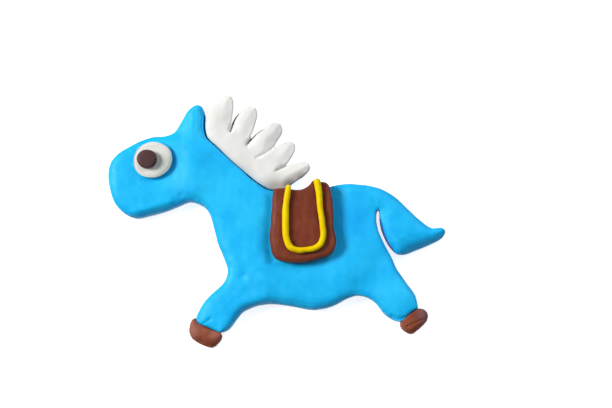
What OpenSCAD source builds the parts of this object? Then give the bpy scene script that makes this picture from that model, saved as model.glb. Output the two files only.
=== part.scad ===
// Relief figure of a standing horse in modelling clay, made to lie flat.
// A thick blue slab is the horse. A white mane, two hooves, an eye of two discs, and a saddle
// with a rolled strand are pressed against it or on it.
// The figure faces -X, its back is towards +Y, and it lies on the plane z = 0.

/* [Figure] */
// Length from the muzzle to the tip of the tail
figure_l = 101; // [80:1:140]
// Thickness of the pressed blue slab
body_t = 7; // [6:0.5:9]
// Rounding where the slab meets the table
under_r = 0.7; // [0.4:0.1:1]

/* [Mane] */
// Thickness of the mane
mane_t = 7.2; // [5.5:0.1:9]

/* [Eye] */
// Length of the white disc, from front to back
eye_l = 11.3; // [9:0.1:12]
// Thickness of the white disc
eye_t = 1.4; // [1:0.1:3]
// Length of the dark pupil, from front to back
pupil_l = 6; // [4:0.1:7]
// Thickness of the dark pupil
pupil_t = 1.9; // [1:0.1:3]
// Distance of the pupil from the middle of the white disc, towards the muzzle
pupil_shift = 1.7; // [0:0.1:2.5]
// Height of both discs as a share of their length
eye_oval = 0.94; // [0.85:0.01:1]
// Turn of the white disc's long axis, from level towards the forehead
eye_turn = 35; // [0:5:90]

/* [Saddle] */
// Thickness of the saddle slab
saddle_t = 3; // [2.2:0.1:3.5]
// Diameter of the rolled strand before it is pressed on
trim_d = 2; // [1.4:0.1:2.6]
// Angle of the strand's section that the pressing flattens, each side of straight down
trim_press = 35; // [25:1:60]

/* [Hooves] */
// Thickness of the two hooves
hoof_t = 6.4; // [5:0.2:7]

/* [Quality] */
// Spacing of the points along an outline
step = 1.4; // [1:0.1:2.5]

/* [Hidden] */
blue = "#26bffb";
white = "#ecebe9";
eye_ivory = "#dedcd0";
dark_brown = "#5c403e";
brown = "#85432f";
yellow = "#f0d010";
drawn_l = 101;
k = figure_l / drawn_l;
edge_steps = 4;
sweep_sides = 12;
oval_points = 40;

// The outlines below are drawn for a figure 101 mm long, and k brings them to figure_l.
// Each point is x, y and the radius of the pressed edge there. An outline is a list of
// stretches, each a smooth curve, and the corners are where one stretch ends and the next starts.

// Leg ends, where the hooves are pressed on. The body and the hoof share each curve.
front_leg_end = [[-16.8, -33.6, 0.5], [-18.5, -33.1, 1.1], [-20.6, -32.2, 1.1],
                 [-22.6, -31.4, 1], [-23.7, -30.5, 0.5], [-24.1, -29.3, 0.2]];
hind_leg_end = [[42.3, -26.4, 0.5], [40.3, -27.7, 1.2], [38.6, -29.2, 1.2], [37.2, -30.2, 0.5]];

// Upper end of the slit between the rump and the tail
slit_end = [30.3, 3.7, 0.6];

// From the front leg's corner up the chest and round the head to the slit
front_leg_back = [front_leg_end[5], [-23.5, -27.5, 1.6], [-22.2, -24.9, 1.8], [-20, -22.1, 1.9],
                  [-16.6, -19.3, 1.9], [-15, -17, 1.8], [-14.6, -14.6, 1.8], [-15.4, -11.8, 1.8],
                  [-17.3, -7.7, 1.9], [-18.5, -3, 2]];
jaw = [[-19.4, 1.2, 2], [-20.6, 3.5, 2], [-23.2, 5.3, 2.1], [-26.3, 6, 2.2], [-29.2, 4.8, 2.8],
       [-33.5, 2.9, 3.1], [-38.2, 1.5, 3.1], [-42, 1, 2.8], [-45.3, 2.4, 2.2], [-48, 5.2, 1.9]];
forehead = [[-49.8, 9.6, 1.9], [-50.4, 13.9, 2], [-49.8, 17.6, 2], [-47.6, 20.6, 2.1],
            [-43.4, 23.2, 2.1], [-38, 25, 2.1], [-32.9, 25.5, 2]];
ear = [[-30.9, 26.4, 1.8], [-28.6, 29.7, 1.6], [-26.1, 33.6, 1.5], [-24.3, 34.8, 1.4],
       [-22.5, 34.3, 1.4], [-21.5, 31.8, 1.4]];
crest = [[-21.5, 27.8, 1.3], [-20.8, 24.8, 1.2], [-18.3, 22.4, 1.2], [-14, 18.2, 1.2],
         [-9.6, 14.4, 1.2], [-5.6, 11.2, 1.2], [-2.6, 9.4, 1.3]];
back = [[3, 8.8, 1.4], [10, 9, 1.4], [16.2, 10, 1.6], [22, 11, 2], [28, 10.5, 2.2],
        [33.6, 8.3, 2.2], [37.8, 4.9, 2], [42.4, 0.4, 1.8], [46.4, -2.5, 1.2]];
tail = [[50.1, -2.7, 0.5], [50.5, -3.4, 0.5], [49.6, -5.1, 1.1], [46.6, -6.8, 2],
        [41.8, -8.8, 2.7], [38, -9.9, 2.2], [36.2, -9.7, 1.6], [34.3, -8.3, 1.2],
        [31.9, -4.2, 1.1], [30.8, 0.4, 0.8], [30.8, 2.6, 0.7], slit_end];

// From the slit down the rump and the hind leg
hind_leg_back = [slit_end, [29.8, 2.5, 0.7], [29.7, 0.4, 0.9], [30.9, -4.4, 1.2],
                 [33.7, -10.2, 1.6], [36, -15, 1.8], [39, -19, 1.8], [41.3, -22.3, 1.6],
                 hind_leg_end[0]];

// From the hind hoof along the belly to the front hoof
hind_leg_front = [hind_leg_end[3], [35.4, -29.9, 1.3], [32.8, -28, 1.7], [30.1, -24.8, 1.9],
                  [27.5, -22.8, 2], [24.2, -22, 2.1]];
belly = [[20.8, -23, 2.6], [17, -25.1, 2.9], [11, -26.5, 3.2], [5.2, -25.5, 3.2], [-1.5, -24.7, 3],
         [-6.4, -25.3, 2.6], [-10.2, -27.2, 2.6], [-12.3, -30, 2.4], [-14.3, -32.6, 1.8]];

body_front_line = concat(front_leg_back, jaw, forehead, ear, crest, back, tail);
body_outline = [body_front_line, hind_leg_back, hind_leg_end,
                concat(hind_leg_front, belly, [front_leg_end[0]]), front_leg_end];

front_hoof_rim = [front_leg_end[0], [-16.2, -34.6, 0.9], [-17, -36.4, 1.7], [-19.4, -38, 2],
                  [-22.4, -37.1, 2.3], [-25.1, -35.5, 2.4], [-26.2, -33.4, 2.2], [-25.9, -31.3, 1.4],
                  [-25.2, -29.8, 0.6], front_leg_end[5]];
hind_hoof_rim = [hind_leg_end[0], [44, -26.8, 0.9], [45.2, -28.4, 1.6], [45, -30, 1.9],
                 [43.1, -31.9, 2], [40, -34, 2], [38.3, -33.3, 1.8], [37.1, -31.6, 1.2],
                 hind_leg_end[3]];
// Radius of a hoof's edge where it meets the leg
hoof_seam_r = 0.5;

saddle_outline = [[[9, 9.7, 0.7], [10.1, 10.4, 0.6], [10.6, 11.2, 0.6], [11.6, 11.7, 0.6],
                   [13.1, 11.1, 0.6], [14.7, 11, 0.6], [15.6, 10.3, 0.6], [16.3, 7.8, 0.9],
                   [16.9, 3, 0.9], [17.1, -3.5, 0.9], [17.8, -7.6, 1], [16.8, -9.9, 1.3],
                   [13.6, -11.6, 1.5], [8.2, -13, 1.6], [2.4, -12.7, 1.6], [-0.4, -11.7, 1.6],
                   [-1.7, -8.9, 1.7], [-2, -4.2, 1.6], [-1.4, 3.2, 1.5], [-1, 9.1, 0.9]],
                  [[-1, 9.1, 0.9], [2.4, 9.2, 0.7], [5, 8.8, 0.7], [7.4, 9, 0.7], [9, 9.7, 0.7]]];

// Middle line of the rolled strand, and its share of the full diameter
trim_line = [[3.5, 9.4, 0.76], [3.3, 7.8, 0.88], [2.9, 5, 0.88], [2.7, 2, 1], [2.7, -2.4, 1],
             [3, -6.1, 0.98], [4.3, -8.6, 0.97], [6.2, -9.4, 0.9], [8.5, -9.3, 0.87],
             [12.4, -8.2, 0.92], [13.7, -5.9, 0.9], [13.65, -1.6, 0.84], [13, 3, 0.86],
             [12.7, 7.2, 0.98], [12.1, 10.9, 1.1]];
// Slant of the rings that dome the strand's ends, seen from its last full ring
dome = [80, 55, 28];

// The mane lies along the body's front line, from beside the ear to the start of the back
mane_start = len(front_leg_back) + len(jaw) + len(forehead) + len(ear) - 1;
mane_end = mane_start + len(crest) + 1;

// Its outline goes round five locks from the ear to the back. Four slits part them. Each slit
// ends in a short edge of its own, and the third is only a notch.
slit_ends = [[[-14.3, 26.6, 0.7], [-13.9, 26.6, 0.7]], [[-9.3, 22.3, 0.7], [-8.9, 22.2, 0.7]],
             [[-1.5, 21.1, 0.8], [-1.3, 21.1, 0.8]], [[-0.2, 15.1, 0.6], [0, 14.8, 0.6]]];
locks = [[body_front_line[mane_start], [-20.6, 33.1, 0.7], [-18.1, 35.5, 0.9], [-15.1, 37.6, 0.9],
          [-13.6, 37.2, 0.9], [-13, 35.1, 1.2], [-13.4, 31, 1.3], slit_ends[0][0]],
         [slit_ends[0][1], [-13, 29.6, 1], [-11.2, 32.4, 1], [-8.6, 34, 1], [-6.4, 33.8, 1],
          [-5.8, 32.2, 1.2], [-6.6, 28.4, 1.3], slit_ends[1][0]],
         [slit_ends[1][1], [-7.3, 24.9, 1], [-3.8, 27.8, 1], [-0.7, 29.4, 1], [1.3, 28.7, 1.1],
          [1.7, 26.5, 1.4], [0.2, 23.9, 1.6], slit_ends[2][0]],
         [slit_ends[2][1], [1.2, 22.7, 1], [3.7, 23.6, 1], [5.5, 22.6, 1.1], [5.4, 20.8, 1.3],
          [4.2, 18.5, 1.3], [3, 16.9, 1], slit_ends[3][0]],
         [slit_ends[3][1], [3, 16.2, 0.8], [6.4, 17.2, 0.9], [9, 17.2, 1], [10.1, 15.8, 1.1],
          [9, 14, 1.4], [5.4, 11.4, 1.6], [3.7, 10, 1.2], body_front_line[mane_end]]];
// Radius of the mane's edge along the neck
neck_seam_r = 1.1;

eye_at = [-37, 17.9];

function flat(p) = [p.x, p.y];
function span(a, b) = norm(flat(b) - flat(a));
function reversed(p) = [for (i = [len(p) - 1:-1:0]) p[i]];
function with_edge(p, r) = [for (q = p) [q.x, q.y, r]];
function scaled(p) = [for (q = p) [q.x * k, q.y * k, q.z]];

// Slope of the curve at point i of an open stretch, per millimetre
function inner_slope(p, i) =
    let (a = span(p[i - 1], p[i]), b = span(p[i], p[i + 1]))
    ((p[i] - p[i - 1]) * b / a + (p[i + 1] - p[i]) * a / b) / (a + b);
function slope(p, i) =
    len(p) == 2 ? (p[1] - p[0]) / span(p[0], p[1])
    : i == 0 ? (3 * (p[1] - p[0]) / span(p[0], p[1]) - inner_slope(p, 1)) / 2
    : i == len(p) - 1 ? (3 * (p[i] - p[i - 1]) / span(p[i - 1], p[i]) - inner_slope(p, i - 1)) / 2
    : inner_slope(p, i);

// Cubic curve from a to b with the slopes u and v there, over a chord d long
function cubic(a, b, u, v, d, t) =
    a * (1 + 2 * t) * pow(1 - t, 2) + b * (3 - 2 * t) * t * t
    + u * d * t * pow(1 - t, 2) - v * d * t * t * (1 - t);

// The points of a smooth stretch from its point first up to its point last, about gap apart,
// without the last one
function part_of(p, first, last, gap) =
    [for (i = [first:last - 1])
        let (d = span(p[i], p[i + 1]), n = max(2, round(d / gap)))
        for (j = [0:n - 1]) cubic(p[i], p[i + 1], slope(p, i), slope(p, i + 1), d, j / n)];
function stretch(p, gap) = part_of(p, 0, len(p) - 1, gap);
function open_curve(p, gap) = concat(stretch(p, gap), [p[len(p) - 1]]);
function outline(stretches) = scaled([for (s = stretches) each stretch(s, step)]);

// The mane's outline: round its locks and slits, and back along the body's own line
function with_slit(i) = i < len(slit_ends) ? [locks[i], slit_ends[i]] : [locks[i]];
function mane_rim() =
    let (rim = outline([for (i = [0:len(locks) - 1]) each with_slit(i)]),
         seam = part_of(body_front_line, mane_start, mane_end, step),
         neck = [for (i = [1:len(seam) - 1]) seam[i], body_front_line[mane_end]])
    concat(rim, scaled(with_edge(reversed(neck), neck_seam_r)));

// One ring of an outline, drawn in by a share of each point's radius
function inward(p, i) =
    let (n = len(p), d = flat(p[(i + 1) % n]) - flat(p[(i + n - 1) % n]))
    [d.y, -d.x] / norm(d);
function under_ring(p, inset, z) =
    [for (i = [0:len(p) - 1]) let (q = flat(p[i]) + inward(p, i) * min(inset, p[i].z)) [q.x, q.y, z]];
function edge_ring(p, angle, top) =
    [for (i = [0:len(p) - 1])
        let (r = p[i].z, q = flat(p[i]) + inward(p, i) * r * (1 - cos(angle)))
        [q.x, q.y, top - r * (1 - sin(angle))]];

// A flat face of any outline as triangles: ears are cut off it until one triangle is left
function turn(a, b, c) = (b.x - a.x) * (c.y - a.y) - (b.y - a.y) * (c.x - a.x);
function within(q, a, b, c) = turn(a, b, q) <= 0 && turn(b, c, q) <= 0 && turn(c, a, q) <= 0;
function is_ear(p, left, i) =
    let (n = len(left), a = p[left[(i + n - 1) % n]], b = p[left[i]], c = p[left[(i + 1) % n]])
    turn(a, b, c) < 0 && len([for (j = [2:n - 2]) if (within(p[left[(i + j) % n]], a, b, c)) 1]) == 0;
function next_ear(p, left, i, tries) =
    tries == 0 || is_ear(p, left, i) ? i : next_ear(p, left, (i + 1) % len(left), tries - 1);
function ears(p, left, i, cut) =
    len(left) == 3 ? concat(cut, [left])
    : let (n = len(left), e = next_ear(p, left, i % n, n),
           ear_corners = [left[(e + n - 1) % n], left[e], left[(e + 1) % n]])
      ears(p, [for (j = [0:n - 1]) if (j != e) left[j]], e + 1, concat(cut, [ear_corners]));
function triangles(p) = ears(p, [for (i = [0:len(p) - 1]) i], 0, []);

// Walls between rings of n points each, as triangles
function walls(rings, n) =
    [for (r = [0:rings - 2]) for (i = [0:n - 1])
        let (a = r * n + i, b = r * n + (i + 1) % n)
        each [[a, b, b + n], [a, b + n, a + n]]];

// A pressed slab: flat below and above, a small radius under it and each point's own on top
module pressed_slab(p, base, height, below_r) {
    top = base + height;
    rings = [under_ring(p, below_r, base),
             under_ring(p, below_r * (1 - cos(45)), base + below_r * (1 - sin(45))),
             under_ring(p, 0, base + below_r),
             for (j = [0:edge_steps]) edge_ring(p, 90 * j / edge_steps, top)];
    n = len(p);
    last = len(rings) - 1;
    under_face = [for (t = triangles(rings[0])) [t[2], t[1], t[0]]];
    top_face = [for (t = triangles(rings[last])) t + [1, 1, 1] * last * n];
    polyhedron(points = [for (r = rings) each r],
               faces = concat(under_face, walls(len(rings), n), top_face));
}

// One ring of a strand that lies on a flat face, and the smaller rings that dome an end of it
function heading(p, i) =
    let (d = flat(p[min(i + 1, len(p) - 1)]) - flat(p[max(i - 1, 0)])) d / norm(d);
function strand_ring(at, way, r, base) =
    [for (j = [0:sweep_sides])
        let (angle = trim_press - 90 + (360 - 2 * trim_press) * j / sweep_sides,
             q = at + [way.y, -way.x] * r * cos(angle))
        [q.x, q.y, base + r * (sin(angle) + cos(trim_press))]];
function dome_ring(p, i, outward, angle, r0, base) =
    let (r = r0 * p[i].z, way = heading(p, i))
    strand_ring(flat(p[i]) + way * outward * r * sin(angle), way, r * cos(angle), base);

// A rolled strand pressed on a flat face: round above, flat where it touches, domed at its ends
module pressed_strand(p, base, r0) {
    rings = [for (a = dome) dome_ring(p, 0, -1, a, r0, base),
             for (i = [0:len(p) - 1]) strand_ring(flat(p[i]), heading(p, i), r0 * p[i].z, base),
             for (a = reversed(dome)) dome_ring(p, len(p) - 1, 1, a, r0, base)];
    last = len(rings) - 1;
    n = sweep_sides + 1;
    start_face = [for (j = [1:n - 2]) [0, j + 1, j]];
    end_face = [for (j = [1:n - 2]) [0, j, j + 1] + [1, 1, 1] * last * n];
    polyhedron(points = [for (r = rings) each r],
               faces = concat(start_face, walls(len(rings), n), end_face));
}

// An oval round the origin as an outline, listed clockwise, with one edge radius
function oval(l, r) =
    [for (i = [0:oval_points - 1])
        let (a = -360 * i / oval_points) [l / 2 * cos(a), l / 2 * eye_oval * sin(a), r]];

module body() {
    color(blue) pressed_slab(outline(body_outline), 0, body_t, under_r);
}

module mane() {
    color(white) pressed_slab(mane_rim(), 0, mane_t, under_r);
}

module eye_white() {
    color(eye_ivory)
        translate([eye_at.x * k, eye_at.y * k, 0])
            rotate([0, 0, eye_turn]) pressed_slab(oval(eye_l, 0.8), body_t, eye_t, 0.3);
}

module eye_pupil() {
    color(dark_brown)
        translate([eye_at.x * k - pupil_shift, eye_at.y * k, 0])
            pressed_slab(oval(pupil_l, 0.9), body_t + eye_t, pupil_t, 0.3);
}

module saddle() {
    color(brown) pressed_slab(outline(saddle_outline), body_t, saddle_t, 0.4);
}

module saddle_trim() {
    color(yellow)
        pressed_strand(scaled(open_curve(trim_line, step)), body_t + saddle_t, trim_d / 2);
}

module front_hoof() {
    seam = with_edge(reversed(front_leg_end), hoof_seam_r);
    color(brown) pressed_slab(outline([seam, front_hoof_rim]), 0, hoof_t, under_r);
}

module hind_hoof() {
    seam = with_edge(reversed(hind_leg_end), hoof_seam_r);
    color(brown) pressed_slab(outline([seam, hind_hoof_rim]), 0, hoof_t, under_r);
}

body();
mane();
eye_white();
eye_pupil();
saddle();
saddle_trim();
front_hoof();
hind_hoof();
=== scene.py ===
# %% [markdown]
# A small clay horse
#
# The object is a flat relief figure, about 10 cm long, pressed together from eight lumps of
# oil-based modelling clay. This script loads the measured solids of the figure and gives them
# the soft, finger-made surfaces that a photograph shows. The solids are only a guide: every
# lump is made again as a fine mesh in the same place, so nothing moves and nothing grows.

# %% Load the measured figure
import math

import bmesh
import bpy
import numpy as np
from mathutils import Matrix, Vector, kdtree


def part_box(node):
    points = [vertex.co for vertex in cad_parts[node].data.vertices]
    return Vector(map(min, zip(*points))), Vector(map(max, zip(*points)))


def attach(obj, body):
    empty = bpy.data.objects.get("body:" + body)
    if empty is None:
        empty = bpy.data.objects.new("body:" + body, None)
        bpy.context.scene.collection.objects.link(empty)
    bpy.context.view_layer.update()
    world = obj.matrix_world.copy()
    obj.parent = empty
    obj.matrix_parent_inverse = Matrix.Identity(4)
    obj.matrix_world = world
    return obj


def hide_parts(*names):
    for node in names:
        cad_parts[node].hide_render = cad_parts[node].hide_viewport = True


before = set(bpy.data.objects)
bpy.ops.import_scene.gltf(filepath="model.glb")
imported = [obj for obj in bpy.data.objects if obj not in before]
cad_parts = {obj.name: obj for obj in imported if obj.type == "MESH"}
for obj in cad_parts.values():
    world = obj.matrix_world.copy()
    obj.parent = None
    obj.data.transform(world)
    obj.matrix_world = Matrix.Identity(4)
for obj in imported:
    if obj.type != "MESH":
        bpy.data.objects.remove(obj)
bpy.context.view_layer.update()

MM = 0.001
scene = bpy.context.scene
print("lumps:", sorted(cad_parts))

# %% [markdown]
# The camera
#
# The figure lay on a table and was photographed from nearly straight above. The camera leans
# a few degrees from the vertical, so that the lower edges show a little of their thickness.
# A long lens keeps the outline free of perspective. The picture's width fixes the distance:
# a lens of focal length f on a 36 mm sensor sees a width w from a distance of w * f / 36.

# %% Camera
PICTURE_WIDTH = 183.6 * MM
SENSOR = 36
LENS = 180
LEAN = math.radians(5)
LOOK_AT = Vector((8.77, 5.0, 3.5)) * MM

camera_data = bpy.data.cameras.new("camera")
camera_data.lens = LENS
camera_data.sensor_width = SENSOR
camera_data.clip_start = 0.01
camera = bpy.data.objects.new("camera", camera_data)
scene.collection.objects.link(camera)
distance = PICTURE_WIDTH * LENS / SENSOR
away = Vector((0, -math.sin(LEAN), math.cos(LEAN)))
camera.location = LOOK_AT + away * distance
camera.rotation_euler = (LEAN, 0, 0)
scene.camera = camera
print("camera distance in mm:", round(distance / MM))

# %% [markdown]
# Colour
#
# Paint and clay colours are usually read off as sRGB hex values, but Blender's shaders work
# with linear light. One function turns the one into the other, and everything uses it.

# %% Colour from hex
def linear(hex_colour):
    """An sRGB colour such as 26c0fe as linear red, green, blue and alpha."""
    parts = [int(hex_colour[i:i + 2], 16) / 255 for i in (0, 2, 4)]
    return tuple(c / 12.92 if c <= 0.04045 else ((c + 0.055) / 1.055) ** 2.4 for c in parts) + (1.0,)


# %% [markdown]
# Nodes
#
# A material is a small graph. This helper adds one node, sets its values and joins its inputs,
# so that each material below reads as a list of steps. A value that is a node or a socket is
# linked, a node by its first output, and anything else is set on the input itself.

# %% One helper for every node
def add_node(tree, kind, inputs=None, **settings):
    """Adds a node, with inputs by name or number, and returns it."""
    node = tree.nodes.new(kind)
    for name, value in settings.items():
        setattr(node, name, value)
    for name, value in (inputs or {}).items():
        if isinstance(value, bpy.types.Node):
            value = value.outputs[0]
        if isinstance(value, bpy.types.NodeSocket):
            tree.links.new(value, node.inputs[name])
        else:
            node.inputs[name].default_value = value
    return node


# %% [markdown]
# The floor
#
# The photograph has a plain white ground. A floor lit by the lamps alone would come out grey,
# and more light would bleach the clay. So the floor adds its own white, but only for rays that
# reach the camera. For the light that bounces up from it the floor is a mid grey, because the
# undersides of the edges are dark in the photograph. It still takes the figure's shadow. It lies
# a hair below the figure, because two faces in one place flicker through each other.

# %% Floor
FLOOR_SIZE = 2.0
FLOOR_GAP = 0.02 * MM
FLOOR_GLOW = 0.8

half = FLOOR_SIZE / 2
floor_mesh = bpy.data.meshes.new("floor")
floor_corners = [(-half, -half, 0), (half, -half, 0), (half, half, 0), (-half, half, 0)]
floor_mesh.from_pydata(floor_corners, [], [(0, 1, 2, 3)])
floor = bpy.data.objects.new("floor", floor_mesh)
scene.collection.objects.link(floor)
floor.location.z = -FLOOR_GAP

floor_paper = bpy.data.materials.new("white_paper")
floor_paper.use_nodes = True
tree = floor_paper.node_tree
tree.nodes.clear()
rays = add_node(tree, "ShaderNodeLightPath")
paper = add_node(tree, "ShaderNodeBsdfDiffuse", {"Color": linear("e8e8e8")})
glow = add_node(tree, "ShaderNodeEmission", {"Color": (1, 1, 1, 1), "Strength": FLOOR_GLOW})
lit_paper = add_node(tree, "ShaderNodeAddShader", {0: paper, 1: glow})
bounce = add_node(tree, "ShaderNodeBsdfDiffuse", {"Color": linear("9a9a9a")})
seen = add_node(tree, "ShaderNodeMath",
                {0: rays.outputs["Is Camera Ray"], 1: rays.outputs["Is Glossy Ray"]},
                operation="MAXIMUM")
seen = add_node(tree, "ShaderNodeMath", {0: seen, 1: rays.outputs["Is Transmission Ray"]},
                operation="MAXIMUM")
ground = add_node(tree, "ShaderNodeMixShader", {0: seen, 1: bounce, 2: lit_paper})
add_node(tree, "ShaderNodeOutputMaterial", {"Surface": ground})
floor_mesh.materials.append(floor_paper)
print("floor is", FLOOR_SIZE, "m wide")

# %% [markdown]
# The light
#
# Shadows tell where a lamp is. The saddle is 3 mm thick and its shadow reaches about 3 mm to
# the right, so the key lamp stands some 40 degrees high on the muzzle's side. The shadow fades
# over 3 mm, so the lamp is a broad disc, about 22 degrees wide. The rump is a little darker than
# the nose, so the lamp is near: a metre away. A broad panel behind the rump fills the shadows,
# and a dim sky fills what is left. The white clay is warmer in the light than in the shade, so
# both of those are a little cooler than the key lamp.

# %% Lamps and sky
KEY_FROM = Vector((-0.95, 0.28, 0.84))
KEY_DISTANCE = 1.0
KEY_SIZE = 0.39
KEY_POWER = 8.9
FILL_FROM = Vector((0.5, 0.5, 0.707))
FILL_DISTANCE = 0.6
FILL_SIZE = 0.5
FILL_POWER = 1.35
SKY_STRENGTH = 0.17
NEUTRAL = (1.0, 1.0, 1.0)
COOL = (0.9, 1.0, 1.12)


def add_lamp(name, shape, size, power, colour, towards, reach):
    """A lamp in the direction towards, reach metres from the middle of the figure."""
    data = bpy.data.lights.new(name, "AREA")
    data.shape = shape
    data.size = size
    data.energy = power
    data.color = colour
    lamp = bpy.data.objects.new(name, data)
    scene.collection.objects.link(lamp)
    lamp.location = towards.normalized() * reach
    lamp.rotation_mode = "QUATERNION"
    lamp.rotation_quaternion = towards.to_track_quat("Z", "Y")
    print(name, "lamp at", [round(v, 2) for v in lamp.location], "m")


add_lamp("key", "DISK", KEY_SIZE, KEY_POWER, NEUTRAL, KEY_FROM, KEY_DISTANCE)
add_lamp("fill", "SQUARE", FILL_SIZE, FILL_POWER, COOL, FILL_FROM, FILL_DISTANCE)

sky = bpy.data.worlds.new("sky")
sky.use_nodes = True
tree = sky.node_tree
tree.nodes.clear()
rays = add_node(tree, "ShaderNodeLightPath")
dim = add_node(tree, "ShaderNodeBackground", {"Color": (*COOL, 1), "Strength": SKY_STRENGTH})
bright = add_node(tree, "ShaderNodeBackground", {"Color": (1, 1, 1, 1), "Strength": 1.0})
mixed = add_node(tree, "ShaderNodeMixShader",
                 {0: rays.outputs["Is Camera Ray"], 1: dim, 2: bright})
add_node(tree, "ShaderNodeOutputWorld", {"Surface": mixed})
scene.world = sky
scene.view_settings.view_transform = "Standard"

# %% [markdown]
# Clay as a mesh
#
# The measured solids have flat facets. Clay has none, so each lump starts as a copy of its
# solid that a voxel remesh turns into small even squares, all joined up. After that the points
# can be pushed about like real clay. No square is wider than a fingerprint's ridge.

# %% Even squares from a solid
def remesh(rough, voxel):
    """A new object in place of rough, with its shape in squares about voxel millimetres wide."""
    name = rough.name
    squares = rough.modifiers.new("squares", "REMESH")
    squares.mode = "VOXEL"
    squares.voxel_size = voxel * MM
    depsgraph = bpy.context.evaluated_depsgraph_get()
    fine = bpy.data.meshes.new_from_object(rough.evaluated_get(depsgraph))
    bpy.data.objects.remove(rough)
    fine.name = name
    lump = bpy.data.objects.new(name, fine)
    scene.collection.objects.link(lump)
    fine.polygons.foreach_set("use_smooth", [True] * len(fine.polygons))
    print(lump.name, "has", len(fine.vertices), "points")
    return lump


def even_mesh(node, name, voxel):
    """A new object with the node's shape in even squares. The node itself is left alone."""
    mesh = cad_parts[node].data.copy()
    mesh.materials.clear()
    build = bmesh.new()
    build.from_mesh(mesh)
    bmesh.ops.remove_doubles(build, verts=build.verts, dist=0.001 * MM)
    bmesh.ops.recalc_face_normals(build, faces=build.faces)
    build.to_mesh(mesh)
    build.free()
    rough = bpy.data.objects.new(name, mesh)
    scene.collection.objects.link(rough)
    return remesh(rough, voxel)


# %% [markdown]
# Tools for shaping
#
# The points of a lump are handled all at once as a table of numbers, in millimetres. Reading
# and writing them takes two short functions. The normals say which way each point faces.

# %% Read and write points
def points_of(lump):
    """The lump's points and normals, as tables in millimetres."""
    count = len(lump.data.vertices)
    places = np.empty(count * 3)
    normals = np.empty(count * 3)
    lump.data.vertices.foreach_get("co", places)
    lump.data.vertices.foreach_get("normal", normals)
    return places.reshape(-1, 3) / MM, normals.reshape(-1, 3)


def set_points(lump, places):
    """Moves the lump's points to places, in millimetres."""
    lump.data.vertices.foreach_set("co", (places * MM).ravel())
    lump.data.update()


# %% [markdown]
# Smoothing is the first tool. Moving each point to the mean of its neighbours melts the small
# steps away, but it also shrinks the lump. A step back with a slightly larger factor after
# each step forward keeps the size, which is known as Taubin smoothing.

# %% Smooth a lump and keep its size
def smooth(lump, rounds, forward=0.5, back=-0.53):
    """Melts small steps away without shrinking the lump."""
    places, _ = points_of(lump)
    ends = np.empty(len(lump.data.edges) * 2, dtype=np.int64)
    lump.data.edges.foreach_get("vertices", ends)
    first, second = ends.reshape(-1, 2).T
    starts = np.concatenate([first, second])
    others = np.concatenate([second, first])
    count = len(places)
    neighbours = np.bincount(starts, minlength=count)
    for factor in [forward, back] * rounds:
        sums = [np.bincount(starts, places[others, axis], count) for axis in range(3)]
        mean = np.stack(sums, axis=1) / neighbours[:, None]
        places += factor * (mean - places)
    set_points(lump, places)


# %% [markdown]
# Fingers leave shallow swells, not a pattern. A sum of a few gentle waves in random directions
# gives such swells at any width, and a fixed seed makes them the same each time.

# %% Swells left by fingers
def swells(places, width, seed, count=14):
    """A smooth random height for each point, mostly -1 to 1, in swells about width mm wide."""
    random = np.random.RandomState(seed)
    height = np.zeros(len(places))
    for _ in range(count):
        direction = random.normal(size=3)
        direction *= random.uniform(0.6, 1.4) / np.linalg.norm(direction)
        start = random.uniform(0, 2 * math.pi)
        height += np.sin(math.pi * (places @ direction) / width + start)
    return height / math.sqrt(count)


# %% [markdown]
# A fingertip presses a soft hollow. The tool gives how deep each point goes, seen from above,
# because the figure was pressed while it lay on the table. With it comes a smooth step, for
# everything that starts gently and ends gently, and with that the upper side of a lump.

# %% Hollows and smooth steps
def hollow(places, x, y, radius, stretch=1.0, turn=0.0):
    """How deep a fingertip at x, y presses each point, from 0 to 1, longer along turn by stretch."""
    c, s = math.cos(math.radians(turn)), math.sin(math.radians(turn))
    along = (places[:, 0] - x) * c + (places[:, 1] - y) * s
    across = (places[:, 1] - y) * c - (places[:, 0] - x) * s
    return np.exp(-((along / (radius * stretch)) ** 2 + (across / radius) ** 2))


def rise(value, low, high):
    """A smooth step from 0 at low to 1 at high."""
    share = np.clip((value - low) / (high - low), 0, 1)
    return share * share * (3 - 2 * share)


def faces_up(normals, low=0.2, high=0.8):
    """How much each point belongs to the upper side: 0 on a wall, 1 on top."""
    return rise(normals[:, 2], low, high)


# %% [markdown]
# Creases, ridges and bevels all follow a line. Walking along that line, every point of the clay
# lies some way along it and some way to the right or the left of it. Those two numbers are all
# that the tools after this one need. A slope fades in over the first part of its line and out
# over the last, which SLOPE_FADES gives as shares of its length.

# %% Where a point lies beside a line
SLOPE_FADES = (0.12, 0.9)


def beside(places, route):
    """How far along route each point lies, from 0 to 1, and how many mm to the right of it."""
    count = len(places)
    nearest, right, along = np.full(count, 1e9), np.zeros(count), np.zeros(count)
    walked = 0
    for (x0, y0), (x1, y1) in zip(route, route[1:]):
        run = np.array([x1 - x0, y1 - y0])
        offset = places[:, :2] - np.array([x0, y0])
        share = np.clip(offset @ run / (run @ run), 0, 1)
        away = np.linalg.norm(offset - share[:, None] * run, axis=1)
        closer = away < nearest
        side = np.where(offset[:, 0] * run[1] > offset[:, 1] * run[0], 1, -1)
        nearest = np.where(closer, away, nearest)
        right = np.where(closer, side * away, right)
        along = np.where(closer, walked + share * np.linalg.norm(run), along)
        walked += np.linalg.norm(run)
    return along / walked, right


def crease(places, route, width):
    """How deep a crease along route presses each point, from 0 to 1, fading over width mm."""
    _, right = beside(places, route)
    return np.exp(-((right / width) ** 2))


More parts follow.
